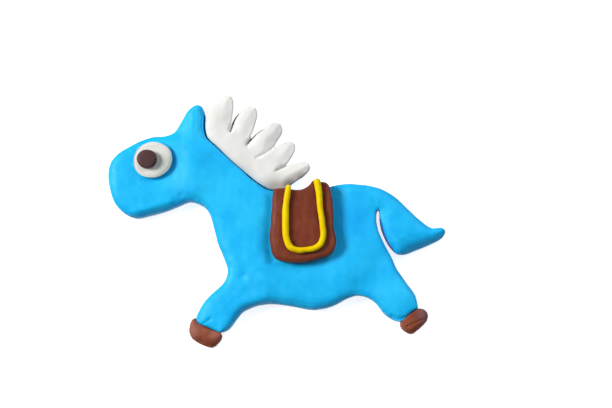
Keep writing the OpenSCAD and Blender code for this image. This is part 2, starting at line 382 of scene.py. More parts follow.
def slope(places, route, steepness, reach, soft):
    """How far each point up to reach mm to the right of route sinks. Its edge is soft mm round."""
    along, right = beside(places, route)
    ends = rise(along, 0, SLOPE_FADES[0]) * (1 - rise(along, SLOPE_FADES[1], 1))
    beyond = np.where(right < reach, np.clip(right, 0, None), 0)
    return ends * steepness * (np.sqrt(beyond ** 2 + soft ** 2) - soft)


# %% [markdown]
# Clay sags most near an edge, and it is pressed down where a neighbour was stuck on. Both need
# to know how far a point is from an outline, seen from above. The side walls of a lump are its
# outline, so a search tree over the wall points answers that for every other point. The nearest
# wall also tells which way the edge faces there, and so what it looks like from the lamp.

# %% Distance from an outline
WALL_TILT = 0.35


def wall_of(lump):
    """A search tree over the points of the lump's side walls, seen from above, and their normals."""
    places, normals = points_of(lump)
    wall = np.flatnonzero(np.abs(normals[:, 2]) < WALL_TILT)
    tree = kdtree.KDTree(len(wall))
    for i in wall:
        tree.insert((places[i, 0], places[i, 1], 0), int(i))
    tree.balance()
    return tree, normals


def from_wall(places, wall):
    """How far each point is from a lump's walls, in mm, and the way that the nearest wall faces."""
    tree, normals = wall
    found = [tree.find((x, y, 0)) for x, y, _ in places]
    return np.array([f[2] for f in found]), normals[[f[1] for f in found]]


def towards(facing, x, y):
    """How much each wall faces the way x, y, from 0 to 1."""
    return np.clip(facing @ np.array([x, y, 0]), 0, 1)


def fade(distance, reach):
    """A bend that is 1 at an edge and 0 from reach on, steepest at the edge."""
    return (1 - np.clip(distance / reach, 0, 1)) ** 2


# %% [markdown]
# No pressed edge runs true. This tool lets the side walls waver in and out, and leaves the top
# and the face on the table where they are.

# %% Wavering walls
LEVEL = np.array([1, 1, 0])


def waver(places, normals, depth, width, seed):
    """Moves the side walls in and out by about depth mm, in swells about width mm wide."""
    sideways = (1 - np.abs(normals[:, 2]))[:, None] * normals * LEVEL
    return places + depth * sideways * swells(places, width, seed)[:, None]


# %% [markdown]
# Where two lumps lie side by side, they touch near the table, and their rounded upper edges
# leave a narrow dark gap. The next tool opens that gap: it draws the upper part of a wall back
# from the neighbour, and leaves the lower part in contact. In a slit the walls lean: the clay
# above moves one way and the foot another, so that little light comes to the bottom and it
# shows from above as a dark line. A third tool presses a lump's underside into the clay below.
# Each pair of numbers is where a smooth step begins and ends, in millimetres, and the lean dies
# out over the last part of its line, from the share LEAN_LAST on.

# %% Gaps, leaning walls and seats
NEAR_WALL = (0.3, 1.8)
LEAN_START = (-0.4, -0.1)
LEAN_END = (0.4, 2.4)
LEAN_HEIGHTS = (0.3, 3.5)
LEAN_LAST = 0.6


def draw_back(places, neighbour, gap, low, high):
    """Moves points near the neighbour's wall away from it by gap mm, none below low, all above high."""
    near, facing = from_wall(places, wall_of(neighbour))
    share = rise(places[:, 2], low, high) * (1 - rise(near, *NEAR_WALL))
    return places + (gap * share)[:, None] * facing * LEVEL


def lean(places, route, shift, foot):
    """Slopes the wall along route. Its foot moves by foot, all above by shift, x and y in mm.

    The clay lies to the right of the route."""
    along, right = beside(places, route)
    near = rise(right, *LEAN_START) * (1 - rise(right, *LEAN_END)) * (1 - rise(along, LEAN_LAST, 1))
    above = rise(places[:, 2], *LEAN_HEIGHTS)[:, None]
    step = above * np.array([*shift, 0]) + (1 - above) * np.array([*foot, 0])
    return places + near[:, None] * step


def seat(places, low, high, depth):
    """Sinks a lump's underside by depth mm into the clay below it. Nothing above high moves."""
    places[:, 2] -= depth * (1 - rise(places[:, 2], low, high))


# %% [markdown]
# Rough lumps
#
# All lumps but the strand are copied first, because the clay of one shows where the next one
# presses. A large lump takes wider squares than a small one, and none gets more than its surface
# needs. Then each is smoothed, by as many rounds as its edges need.

# %% Copy and melt the lumps
body = even_mesh("body", "body_clay", 0.32)
mane = even_mesh("mane", "mane_clay", 0.28)
eye_white = even_mesh("eye_white", "eye_white_clay", 0.2)
eye_pupil = even_mesh("eye_pupil", "eye_pupil_clay", 0.16)
saddle = even_mesh("saddle", "saddle_clay", 0.26)
front_hoof = even_mesh("front_hoof", "front_hoof_clay", 0.16)
hind_hoof = even_mesh("hind_hoof", "hind_hoof_clay", 0.16)
for lump, rounds in ((body, 8), (mane, 6), (eye_white, 6), (eye_pupil, 6), (saddle, 8),
                     (front_hoof, 10), (hind_hoof, 10)):
    smooth(lump, rounds)

# %% [markdown]
# The blue body
#
# On the real figure the head, neck, trunk, legs and tail are one slab, squeezed from a single
# lump. Its top is a low pillow: it is flat in the middle and sags towards the edges, more where
# they face the muzzle, and it rolls under along the tail's lower side. The copy of the solid has
# the outline, and the sag is pressed in here.
#
# A real edge never follows one smooth curve. First the copy's walls move in or out by a few
# tenths of a millimetre where the photograph's edge does. Each place has x, y, a radius, how much
# longer than wide it is, how it is turned in degrees, and how far the edge moves out.
#
# All x and y are millimetres from the middle of the figure, as in the measured solids.

# %% Body: where its edge swells and dips
EDGE_SWELLS = {
    "belly, front": (-6, -24.8, 7, 1.0, 0, 0.26),
    "belly": (6, -25.3, 6, 1.3, 0, 0.25),
    "belly, rear": (18.5, -24, 5, 1.2, 30, 0.4),
    "belly notch": (26, -22, 4.5, 1.0, 0, 0.3),
    "chin": (-44, 1.3, 4, 1.0, 0, 0.35),
    "jaw": (-28.5, 4.8, 5, 1.2, 20, 0.33),
    "forehead": (-45, 21.5, 5, 1.2, 35, -0.6),
    "brow": (-40, 23.8, 3, 1.0, 0, -0.03),
    "lower lip": (-48.3, 5.5, 4, 1.0, 0, 0.35),
    "throat": (-20, 1.2, 4.5, 1.0, 0, 0.35),
    "chest": (-15.5, -12, 3, 1.0, 0, 0.2),
    "front leg, front": (-19.5, -22.3, 4, 1.2, 50, -0.4),
    "front leg, back": (-8.5, -26.3, 3, 1.0, 0, 0.15),
    "hind leg, front": (32, -27.5, 3.6, 1.0, 0, 0.45),
    "hind leg, back": (37, -16, 2.4, 1.0, 0, 0.2),
    "tail": (37, -10.4, 3, 1.0, 0, 0.3),
    "back": (25, 10.6, 5, 1.0, 0, -0.2),
    "back, at the saddle": (18.5, 10.6, 3, 1.0, 0, 0.3),
    "muzzle": (-50, 13, 5.5, 1.0, 0, 0.22),
}

EDGE_BELT = (2, 6)

places, normals = points_of(body)
inside, facing = from_wall(places, wall_of(body))
outward = facing * LEVEL * (1 - rise(inside, *EDGE_BELT))[:, None]
for x, y, radius, stretch, turn, swell in EDGE_SWELLS.values():
    places += swell * hollow(places, x, y, radius, stretch, turn)[:, None] * outward
set_points(body, places)
print(len(EDGE_SWELLS), "swells and dips of the edge")

# %% [markdown]
# The pillow comes next, on walls that are measured anew. It hardly moves what lies low. Heights
# and widths here and below are millimetres, a direction is x and y, and three numbers for swells
# are their width, their height and their seed.

# %% Body: a low pillow
BODY_HEIGHT = 7.0
SAG = 0.3
SAG_WIDTH = 7.0
MUZZLE_SAG = 0.5
TAIL_SAG = 0.2
RIM_WIDTH = 3.2
TAIL_ROLL = 1.1
TAIL_ROLL_WIDTH = 2.6
TAIL_DOWN = (0.2, -0.98)
TAIL_START = (33, 36)
TAIL_LOWEST = -13
BODY_SWELLS = ((9, 0.12, 1), (4, 0.06, 2), (1.8, 0.03, 5))

places, normals = points_of(body)
inside, facing = from_wall(places, wall_of(body))
top = faces_up(normals)
rim_sag = MUZZLE_SAG * towards(facing, -1, 0) + TAIL_SAG * towards(facing, 1, 0)
sag = SAG * (1 - rise(inside, 0, SAG_WIDTH)) + rim_sag * (1 - rise(inside, 0, RIM_WIDTH))
on_tail = rise(places[:, 0], *TAIL_START) * (places[:, 1] > TAIL_LOWEST)
sag += TAIL_ROLL * towards(facing, *TAIL_DOWN) * on_tail * fade(inside, TAIL_ROLL_WIDTH)
places[:, 2] *= 1 - sag / BODY_HEIGHT
for width, height, seed in BODY_SWELLS:
    places[:, 2] += top * height * swells(places, width, seed)
print("sag at the edge:", round(sag.max(), 2), "mm")

# %% [markdown]
# The eye and the saddle were pressed on hard, and the clay gave way round them: it dips towards
# their edges, which is why the blue darkens there on the lit side. On the far side the dip is
# wider, and a narrow cleft under the edge makes the shadow nearly black where it starts. Each
# dip has a depth, a width, how much wider it is on the far side, and the depth of its cleft.

# %% Body: clay gives way round its neighbours
DIPS = ((saddle, 0.8, 2.1, 2.3, 0.2), (eye_white, 0.5, 2, 1.8, 1.1))
CLEFT_WIDTH = 0.8
FROM_LAMP = (0.9, -0.4)

for neighbour, depth, width, wider, cleft in DIPS:
    near, facing = from_wall(places, wall_of(neighbour))
    far_side = towards(facing, *FROM_LAMP)
    places[:, 2] -= top * depth * np.exp(-((near / (width + wider * far_side)) ** 2))
    places[:, 2] -= top * cleft * far_side * np.exp(-((near / CLEFT_WIDTH) ** 2))
    print("the clay dips round", neighbour.name)

# %% [markdown]
# The ear is a low roof: its ridge runs beside the mane, one side slopes gently to the forehead
# and the other falls quickly to the mane.

# %% Body: the ear
EAR_START = (22, 27)
EAR_RIDGE = 4.0
EAR_FALL = 0.7
EAR_SLOPE = 0.14

near, _ = from_wall(places, wall_of(mane))
in_ear = top * rise(places[:, 1], *EAR_START)
places[:, 2] -= in_ear * EAR_FALL * fade(near, EAR_RIDGE)
places[:, 2] -= in_ear * EAR_SLOPE * np.clip(near - EAR_RIDGE, 0, None)
print("the ear has", int(in_ear.sum()), "points")

# %% [markdown]
# Under the jaw a finger was drawn along the edge and cut it to a flat bevel, with a crisp line
# above it. Along the tail's lower side the clay falls away from a softer ridge. Both are slopes
# with a steepness, a reach and a softness.

# %% Body: the jaw's bevel and the tail's ridge
JAW_LINE = [(-45.4, 1.2), (-44, 1.6), (-43, 1.9), (-41, 2.6), (-38, 3.4), (-35, 4.3), (-32, 5.2),
            (-29.6, 6.3), (-27.6, 7.1), (-25.6, 7.5)]
JAW_BEVEL = (1.2, 4, 0.1)
BEVEL_TOP = 6.85
TAIL_RIDGE = [(34.8, -8.6), (36.2, -6.2), (37.7, -4.7), (39.5, -3.8), (42.5, -3.2), (46, -3.1),
              (50, -3.1)]
TAIL_FALL = (0.4, 8, 1.4)

bevel = slope(places, JAW_LINE, *JAW_BEVEL)
cut = np.minimum(places[:, 2], BEVEL_TOP - bevel)
places[:, 2] = np.where(bevel > 0, cut, places[:, 2])
places[:, 2] *= 1 - slope(places, TAIL_RIDGE, *TAIL_FALL) / BODY_HEIGHT
print("the bevel falls", round(bevel.max(), 1), "mm")

# %% [markdown]
# Then come the single marks, each read off the photograph: where it is, how wide, how long, how
# it is turned and how deep. A mark is a hollow where a fingertip lay, or with a negative depth a
# swelling that was left between two fingers.

# %% Body: marks of fingers
FINGER_MARKS = {
    "on the nose": (-45.8, 16.8, 2.0, 1.3, 80, 0.3),
    "pit on the shoulder": (-10.2, -17.1, 1.1, 1.3, 30, 0.28),
    "round that pit": (-9.8, -16.8, 2.4, 1.7, 20, 0.2),
    "above the belly notch": (25.3, -20.3, 2.8, 1.3, 35, 0.55),
    "on the rump": (25.5, 0.5, 4, 1.8, 75, 0.3),
    "above the front hoof": (-19.9, -29.8, 0.5, 1.2, 40, 0.3),
    "under the saddle's corner": (-1.9, -12.8, 1.1, 1.5, 20, 0.35),
    "at the jaw's end": (-28.6, 7.3, 0.9, 1.3, 60, 0.3),
    "swelling of the hind leg": (39.8, -23, 3.6, 1.3, -55, -0.62),
    "swelling of the withers": (-2.6, 5, 7, 1.2, 90, -0.6),
    "swelling behind the shoulder": (-4, -18.5, 3.8, 1.6, 75, -0.5),
    "swelling of the belly": (21, -15, 3.6, 1.5, 80, -0.4),
}
for x, y, radius, stretch, turn, depth in FINGER_MARKS.values():
    places[:, 2] -= top * depth * hollow(places, x, y, radius, stretch, turn)
print(len(FINGER_MARKS), "hollows and swellings")

# %% [markdown]
# Skin or a nail that drags leaves a crease, and clay pushed up between two fingers a ridge. Both
# have a line, a width and a depth, and again a negative depth is a height. The end of the hind
# leg slopes off towards its hoof.

# %% Body: creases and ridges
CREASES = {
    "jaw": ([(-26.3, 7.6), (-24.6, 6.4)], 0.4, 0.2),
    "front leg": ([(-20, -29.9), (-21.9, -31.2)], 0.35, 0.25),
    "hind leg back, inner": ([(31.5, -12.5), (34.6, -18), (38.2, -22.8)], 0.5, 0.07),
    "hind leg back, outer": ([(33.4, -13.2), (36.4, -18.2), (40.2, -23.6)], 0.35, 0.05),
    "between rump and hind leg": ([(31.3, -10.5), (31, -15.5), (28.8, -20)], 3.0, 0.4),
    "front leg's back": ([(-4.4, -23.3), (-8, -23.6), (-10.4, -25), (-12.2, -27), (-13.9, -29.6),
                          (-15.6, -31.6)], 1.9, -0.3),
    "ear, first stroke": ([(-25.9, 31.5), (-26.2, 29)], 0.4, 0.08),
    "ear, second stroke": ([(-24.4, 32.5), (-24.5, 28)], 0.45, 0.12),
    "ear, third stroke": ([(-23.2, 31), (-22.9, 26)], 0.4, 0.12),
    "back": ([(20, 9.2), (26, 9), (31, 7.6)], 0.4, 0.05),
    "above the slit": ([(28.8, 6.3), (30.2, 3.6)], 0.5, 0.12),
    "lip above the jaw's bevel": ([(-45, 1.5), (-43, 2.1), (-41, 2.8), (-38, 3.6), (-35, 4.5),
                                   (-32, 5.4)], 1.1, -0.28),
    "beside the saddle": ([(-1.8, -2.5), (-1.9, -6), (-1.8, -10)], 3.2, 0.42),
    "round the saddle's corner": ([(-6.5, -14.6), (-2.5, -13.9), (2.5, -14.2), (6, -14.8)], 0.8, -0.12),
}
HIND_LEG_END = [(34, -27.6), (36, -28.4), (38.4, -28.5), (39.6, -27.6)]
HIND_LEG_FALL = (0.6, 3, 0.1)

for route, width, depth in CREASES.values():
    places[:, 2] -= top * depth * crease(places, route, width)
places[:, 2] -= top * slope(places, HIND_LEG_END, *HIND_LEG_FALL)
print(len(CREASES), "creases and ridges")

# %% [markdown]
# Behind the cheek the clay was pushed together into a broad soft ridge. Its slope on the
# muzzle's side catches the light, and the slope on the neck's side is darker. It leans a little
# and fades out at both ends.

# %% Body: the ridge behind the cheek
CHEEK_RIDGE = (-25.2, 14)
RIDGE_LEAN = 0.08
RIDGE_HEIGHT = 0.75
RIDGE_WIDTHS = (4.2, 4.5)
RIDGE_FOOT = (5, 10)
RIDGE_TOP = (19, 27)

beyond = places[:, 0] - CHEEK_RIDGE[0] - RIDGE_LEAN * (places[:, 1] - CHEEK_RIDGE[1])
ridge = np.exp(-((beyond / np.where(beyond < 0, *RIDGE_WIDTHS)) ** 2))
ridge *= rise(places[:, 1], *RIDGE_FOOT) * (1 - rise(places[:, 1], *RIDGE_TOP))
places[:, 2] += top * RIDGE_HEIGHT * ridge
print("the ridge is", round(RIDGE_HEIGHT * ridge.max(), 2), "mm high")

# %% [markdown]
# The last touches on the body: its upper edge draws back from the mane, the two walls of the
# slit under the tail lean apart so that it is narrow only at its foot, and all walls waver.

# %% Body: gaps and uneven walls
SEAM_RISE = (2.5, 5)
SEAM_GAP = 0.08
EAR_GAP = 0.6
EAR_HEIGHTS = (22, 28)
ROOT_GAP = 0.25
ROOT_HEIGHTS = (12, 16)
SLIT_WALLS = {
    "tail": ([(33.9, -8.3), (32.6, -5.8), (31.5, -3), (30.9, -0.2), (30.8, 2.4)], (0.5, 0.13), (0, 0)),
    "rump": ([(30.3, 3.2), (30, 0.3), (30.3, -2), (31, -4)], (-0.05, 0), (0.25, 0)),
}

at_ear = rise(places[:, 1], *EAR_HEIGHTS)
at_root = 1 - rise(places[:, 1], *ROOT_HEIGHTS)
places = draw_back(places, mane, SEAM_GAP + EAR_GAP * at_ear + ROOT_GAP * at_root, *SEAM_RISE)
for route, shift, foot in SLIT_WALLS.values():
    places = lean(places, route, shift, foot)
above_table = rise(places[:, 2], 0.2, 1.5)[:, None]
places += above_table * normals * (0.04 * swells(places, 2.5, 3) + 0.03 * swells(places, 7, 4))[:, None]
set_points(body, places)
print("the body reaches", round(places[:, 2].max(), 1), "mm above the table")

# %% [markdown]
# The white mane
#
# Five locks were pulled out of one flat piece and lie fanned beside the neck. The photograph
# shows them almost white on the lamp's side and light grey on the other, so each lock is a low
# crown. Its edge on the far side is squarer than the solid's, and the wall below slants in a
# little, or a dark rim would show. The lowest lock and the root roll under where they lie above
# the saddle.

# %% Mane: crowns and soft sides
UPPER_PART = (3, 5)
CROWN = 0.3
CROWN_WIDTH = 3.5
LIT_ROLL = 0.4
FAR_ROLL = 0.3
ROLL_WIDTH = 3.2
TO_LAMP = np.array([-0.95, 0.3, 0])
MANE_HEIGHT = 7.2
SOLID_EDGE = 1.3
SQUARE_EDGE = 0.4
UNDERCUT = 0.35
UNDER_ROLL = 1.3
UNDER_WIDTH = 3.0
ROOT_DOWN = (0.3, -0.95)
ROOT_TOP = (14, 17.5)
ROOT_TIP = (3, 9)
TIP_SPARED = 0.6

places, normals = points_of(mane)
inside, facing = from_wall(places, wall_of(mane))
upper = rise(places[:, 2], *UPPER_PART)
turned = facing @ TO_LAMP


def edge_drop(inside, radius):
    """How far an edge rounded with this radius lies below the top, inside mm from the wall."""
    return radius * (1 - np.sqrt(1 - (1 - np.clip(inside / radius, 0, 1)) ** 2))


square = edge_drop(inside, SOLID_EDGE) - edge_drop(inside, SQUARE_EDGE)
square *= rise(places[:, 2], MANE_HEIGHT - SOLID_EDGE - 1.5, MANE_HEIGHT - SOLID_EDGE)
places[:, 2] += square * rise(-turned, -0.3, 0.3)
undercut = (1 - rise(places[:, 2], 3.5, 6)) * rise(-turned, 0, 0.5) * (1 - rise(inside, 0.5, 3))
places -= UNDERCUT * undercut[:, None] * facing * LEVEL
places[:, 2] -= upper * CROWN * (1 - rise(inside, 0, CROWN_WIDTH))
side_roll = LIT_ROLL * np.clip(turned, 0, 1) + FAR_ROLL * np.clip(-turned, 0, 1)
places[:, 2] -= upper * side_roll * fade(inside, ROLL_WIDTH)
turned_down = towards(facing, *ROOT_DOWN) * (1 - rise(places[:, 1], *ROOT_TOP))
turned_down *= 1 - TIP_SPARED * rise(places[:, 0], *ROOT_TIP)
places[:, 2] -= upper * UNDER_ROLL * turned_down * fade(inside, UNDER_WIDTH)
print("the locks are", round(places[:, 2].max(), 1), "mm high")

# %% [markdown]
# The third lock has a fold: a ridge runs from its tip to its root, and from there the clay
# slopes down to the right, where the fourth lock lies on top. The slope is a patch with four
# sides, and a point in it sinks by its distance from the ridge, less and less as it goes on.

# %% Mane: the folded lock
RIDGE = [(-1.9, 28.6), (-2.9, 26.6), (-3.4, 24.1), (-4.3, 21.2), (-6.2, 18.7)]
PATCH = RIDGE + [(-4.2, 19.3), (-1.6, 20.9), (0.8, 23.2), (3, 27), (0.6, 30.5)]
FOLD_SLOPE = 0.25
FOLD_EASE = 4.5


def in_patch(places, corners):
    """Which points lie inside the corners, seen from above."""
    inside = np.zeros(len(places), dtype=bool)
    x, y = places[:, 0], places[:, 1]
    for (x0, y0), (x1, y1) in zip(corners, corners[1:] + corners[:1]):
        if y0 != y1:
            crossing = ((y0 > y) != (y1 > y)) & (x < x0 + (y - y0) * (x1 - x0) / (y1 - y0))
            inside ^= crossing
    return inside


_, from_ridge = beside(places, RIDGE)
from_ridge = np.abs(from_ridge)
sunk = FOLD_SLOPE * from_ridge / (1 + from_ridge / FOLD_EASE) * in_patch(places, PATCH)
places[:, 2] -= upper * sunk
print("the fold is", round(sunk.max(), 2), "mm deep")

# %% [markdown]
# Three of the locks' walls lean like the slit's, so that the cuts between the locks are wider
# above than at the table. The piece gets its swells and its gap to the neck. The steps made so
# far are steep, so it is made into even squares once more before it is smoothed. After that the
# slits are cut: thin deep lines that run on from the cuts into the clay.

# %% Mane: slits, gap and a second melt
LOCK_WALLS = {
    "second lock": ([(-14.1, 26.8), (-13, 29.6), (-11.2, 32.4), (-9.3, 33.8)], (0.25, -0.13),
                    (-0.5, 0.24)),
    "third lock": ([(-9, 22.3), (-7.3, 24.9), (-3.8, 27.8), (-1.5, 29)], (0.25, -0.27),
                   (-0.27, 0.3)),
    "fifth lock": ([(-0.1, 14.9), (3, 16.2), (6, 17.1)], (0.06, -0.14), (0, 0)),
}
SLITS = {
    "first": ([(-13, 29.2), (-13.4, 28.1), (-13.9, 26.6)], 0.2, 2.2),
    "second": ([(-7.4, 24.7), (-8.1, 23.9), (-8.9, 22.8)], 0.2, 2.2),
    "third": ([(-1.4, 21.1), (-4.2, 19.3), (-6, 18.6)], 0.45, 0.35),
    "fourth": ([(3.6, 17), (2.2, 16), (0.7, 15.3), (-0.4, 14.6)], 0.2, 1.0),
}
MANE_VOXEL = 0.2

for route, shift, foot in LOCK_WALLS.values():
    places = lean(places, route, shift, foot)
places[:, 2] += upper * (0.07 * swells(places, 4, 11) + 0.04 * swells(places, 2, 12))
places = draw_back(places, body, SEAM_GAP, *SEAM_RISE)
set_points(mane, places)
mane = remesh(mane, MANE_VOXEL)
smooth(mane, 4)
places, _ = points_of(mane)
for route, width, depth in SLITS.values():
    places[:, 2] -= rise(places[:, 2], *UPPER_PART) * depth * crease(places, route, width)
set_points(mane, places)
smooth(mane, 1)

# %% [markdown]
# The eye
#
# Two balls of clay, one white and one dark, were pressed flat on each other. A pressed disc is
# never quite round, and it stays thicker in the middle than at its edge. The pupil sits left of
# the middle, and the white clay gave way round it. Melting made both discs a little thinner at
# the rim, so they are lifted by as much. It made the white one narrower too, so that one is
# stretched a little, and more to the left. Its underside sinks into the blue, as a pressed disc's
# does.

# %% Eye discs
DISCS = ((eye_white, 0.42, 0.42, 21), (eye_pupil, 0.1, 0.55, 22))
CROWN_REACH = 5.4
WHITE_MIDDLE = -37.4
WHITE_STRETCH = 0.05
WHITE_SHIFT = 0.12
PUPIL_DIP = 0.3
PUPIL_DIP_WIDTH = 1.5
SUNK = 1.0
WAVER = 0.12

for disc, crown, lift, seed in DISCS:
    places, normals = points_of(disc)
    top = faces_up(normals)
    inside, _ = from_wall(places, wall_of(disc))
    low = places[:, 2].min()
    places[:, 2] += lift * rise(places[:, 2], low, low + 1)
    places[:, 2] -= top * crown * fade(inside, CROWN_REACH)
    if disc is eye_white:
        places[:, 0] += WHITE_STRETCH * (places[:, 0] - WHITE_MIDDLE) - WHITE_SHIFT
        near, _ = from_wall(places, wall_of(eye_pupil))
        places[:, 2] -= top * PUPIL_DIP * np.exp(-((near / PUPIL_DIP_WIDTH) ** 2))
        seat(places, BODY_HEIGHT, BODY_HEIGHT + 0.7, SUNK)
    places[:, 2] += top * (0.05 * swells(places, 2.5, seed + 10) + 0.02 * swells(places, 1, seed + 20))
    set_points(disc, waver(places, normals, WAVER, 3, seed))
    print(disc.name, "reaches", round(places[:, 2].max(), 1), "mm above the table")

# %% [markdown]
# The saddle
#
# A brown slab, cut and pressed over the back. Its rim is a little lower, but curls up on the
# rump's side, and where it reaches over the back's rounded edge it hangs down with it. The
# yellow strand was pressed on as a U and lies in a shallow groove. The U's path is a list of x,
# y and share of full thickness.

# %% Saddle
SADDLE_RIM = 3.5
RIM_DROP = 0.2
RIM_CURL = 0.4
CURL_SIDE = (1, -0.2)
OVER_THE_BACK = 8.0
HANG_LENGTH = 3.4
HANG = 0.55
TRIM_PATH = [(3.5, 9.4, 0.76), (3.3, 7.8, 0.88), (2.9, 5, 0.88), (2.7, 2, 1), (2.7, -2.4, 1),
             (3, -6.1, 0.98), (4.3, -8.6, 0.97), (6.2, -9.4, 0.9), (8.5, -9.3, 0.87),
             (12.4, -8.2, 0.92), (13.7, -5.9, 0.9), (13.65, -1.6, 0.84), (13, 3, 0.86),
             (12.7, 7.2, 0.98), (12.1, 10.9, 1.1)]
GROOVE = 0.25
GROOVE_WIDTH = 1.3

places, normals = points_of(saddle)
top = faces_up(normals)
inside, facing = from_wall(places, wall_of(saddle))
rim = RIM_DROP - RIM_CURL * towards(facing, *CURL_SIDE)
places[:, 2] -= top * rim * (1 - rise(inside, 0, SADDLE_RIM))
places[:, 2] -= HANG * rise(places[:, 1], OVER_THE_BACK, OVER_THE_BACK + HANG_LENGTH) ** 2
places[:, 2] += top * (0.07 * swells(places, 4, 31) + 0.03 * swells(places, 1.6, 32))
places[:, 2] -= top * GROOVE * crease(places, [(x, y) for x, y, _ in TRIM_PATH], GROOVE_WIDTH)
seat(places, BODY_HEIGHT, BODY_HEIGHT + 1.5, SUNK)
set_points(saddle, waver(places, normals, WAVER, 3, 33))
print("the saddle reaches", round(places[:, 2].max(), 1), "mm above the table")

# %% [markdown]
# The hooves
#
# Two brown lumps were pushed against the ends of the legs and turned under with a fingertip,
# which left its print: fine ridges about half a millimetre apart. On the hind hoof a crease
# parts the flat upper half from a lower face that slopes away, and the ridges run along it.

# %% Hind hoof: crease and fingerprint
HOOF_TOP = (0.15, 0.7)
PRINT_GAP = 0.55
PRINT_HEIGHT = 0.05
FOLD = ((39.0, -31.9), (43.6, -29.8))
FOLD_WIDTH = 0.4
FOLD_DEPTH = 0.32
FOLD_DROP = 0.3

places, normals = points_of(hind_hoof)
top = faces_up(normals, *HOOF_TOP)
(x0, y0), (x1, y1) = FOLD
length = math.hypot(x1 - x0, y1 - y0)
below_fold = ((places[:, 0] - x0) * (y1 - y0) - (places[:, 1] - y0) * (x1 - x0)) / length
places[:, 2] -= top * FOLD_DROP * rise(below_fold, 0, 3)
places[:, 2] -= top * FOLD_DEPTH * crease(places, FOLD, FOLD_WIDTH)
ridges = np.sin(2 * math.pi * (below_fold + 0.15 * swells(places, 2, 41)) / PRINT_GAP)
places[:, 2] += top * PRINT_HEIGHT * ridges * (0.35 + 0.65 * rise(below_fold, 0, 0.6))
places[:, 2] += top * 0.08 * swells(places, 2.2, 42)
set_points(hind_hoof, waver(places, normals, WAVER, 2.5, 43))
print("the crease is", round(length, 1), "mm long")

# %% [markdown]
# The front hoof is a worn bean. It is domed, so its left side catches the light and its right
# side is dark, and its print is faint.

# %% Front hoof: a worn bean
BEAN_DOME = 0.45
BEAN_WIDTH = 4
WORN_PRINT = 0.02
PRINT_ACROSS = np.array([-0.35, 0.94, 0])

places, normals = points_of(front_hoof)
top = faces_up(normals, *HOOF_TOP)
inside, _ = from_wall(places, wall_of(front_hoof))
places[:, 2] -= top * BEAN_DOME * fade(inside, BEAN_WIDTH)
across = places @ PRINT_ACROSS
ridges = np.sin(2 * math.pi * (across + 0.2 * swells(places, 2, 44)) / PRINT_GAP)
uneven = 0.08 * swells(places, 2.5, 45) + 0.04 * swells(places, 1.1, 46)
places[:, 2] += top * (WORN_PRINT * ridges + uneven)
set_points(front_hoof, waver(places, normals, WAVER, 2.5, 47))
print("the middle of the bean is", round(inside.max(), 1), "mm from its wall")

# %% [markdown]
# The rolled strand
#
# A thin yellow strand, rolled between the fingers, was laid on the saddle as a U and pressed on
# lightly. A strand is a rule, not a sculpture: a path, a thickness that changes along it, and
# domed ends. Geometry Nodes fit that well. The path is a curve with a radius at each point. The
# tree walks along it, makes the thickness waver, sweeps a circle and lays the result flat.

# %% The strand's path
TRIM_THICKNESS = 2.0
TRIM_SUNK = 0.15

trim_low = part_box("saddle_trim")[0].z
trim_curve = bpy.data.curves.new("trim_path", "CURVE")
trim_curve.dimensions = "3D"
spline = trim_curve.splines.new("BEZIER")
spline.bezier_points.add(len(TRIM_PATH) - 1)
tip = TRIM_THICKNESS / 2
for knot, (x, y, share) in zip(spline.bezier_points, TRIM_PATH):
    knot.co = Vector((x * MM, y * MM, trim_low + (tip - TRIM_SUNK) * MM))
    knot.radius = share
    knot.handle_left_type = "AUTO"
    knot.handle_right_type = "AUTO"
for end, inner in ((0, 1), (-1, -2)):
    outward = Vector(TRIM_PATH[end][:2]) - Vector(TRIM_PATH[inner][:2])
    reach = outward.normalized() * TRIM_PATH[end][2] * tip * MM
    spline.bezier_points[end].co += Vector((reach.x, reach.y, 0))
strand = bpy.data.objects.new("strand", trim_curve)
scene.collection.objects.link(strand)
print("strand path has", len(TRIM_PATH), "knots")

# %% [markdown]
# The tree's inputs have names, so that a reader can change the strand without reading the
# tree. Near each end the radius follows a quarter circle, which domes the end.

# %% The strand's node tree
trim_tree = bpy.data.node_groups.new("rolled_strand", "GeometryNodeTree")
sockets = trim_tree.interface
sockets.new_socket("Geometry", in_out="INPUT", socket_type="NodeSocketGeometry")
sockets.new_socket("Geometry", in_out="OUTPUT", socket_type="NodeSocketGeometry")
TRIM_INPUTS = {"Radius": tip * MM, "Step": 0.2 * MM, "Waver": 0.25 * MM,
               "Seat": trim_low - GROOVE * MM}
identifiers = {}
for name, value in TRIM_INPUTS.items():
    socket = sockets.new_socket(name, in_out="INPUT", socket_type="NodeSocketFloat")
    socket.default_value = value
    identifiers[name] = socket.identifier
material_socket = sockets.new_socket("Clay", in_out="INPUT", socket_type="NodeSocketMaterial")

trim_in = add_node(trim_tree, "NodeGroupInput")
walk = add_node(trim_tree, "GeometryNodeResampleCurve",
                {"Curve": trim_in.outputs["Geometry"], "Length": trim_in.outputs["Step"]},
                mode="LENGTH")
share = add_node(trim_tree, "GeometryNodeInputRadius")
radius = add_node(trim_tree, "ShaderNodeMath", {0: share, 1: trim_in.outputs["Radius"]},
                  operation="MULTIPLY")
print("strand's inputs in metres:", {name: round(value, 5) for name, value in TRIM_INPUTS.items()})

# %% [markdown]
# The distance to the nearer end, counted in radii, goes from 0 at the tip to 1 where the dome
# starts. A quarter circle over it is the square root of 1 - (1 - distance) squared. A little
# more than 1 in it leaves a small flat at the tip, where the faces would shrink to nothing.

# %% The strand's domed ends
DOME_FLAT = 0.01

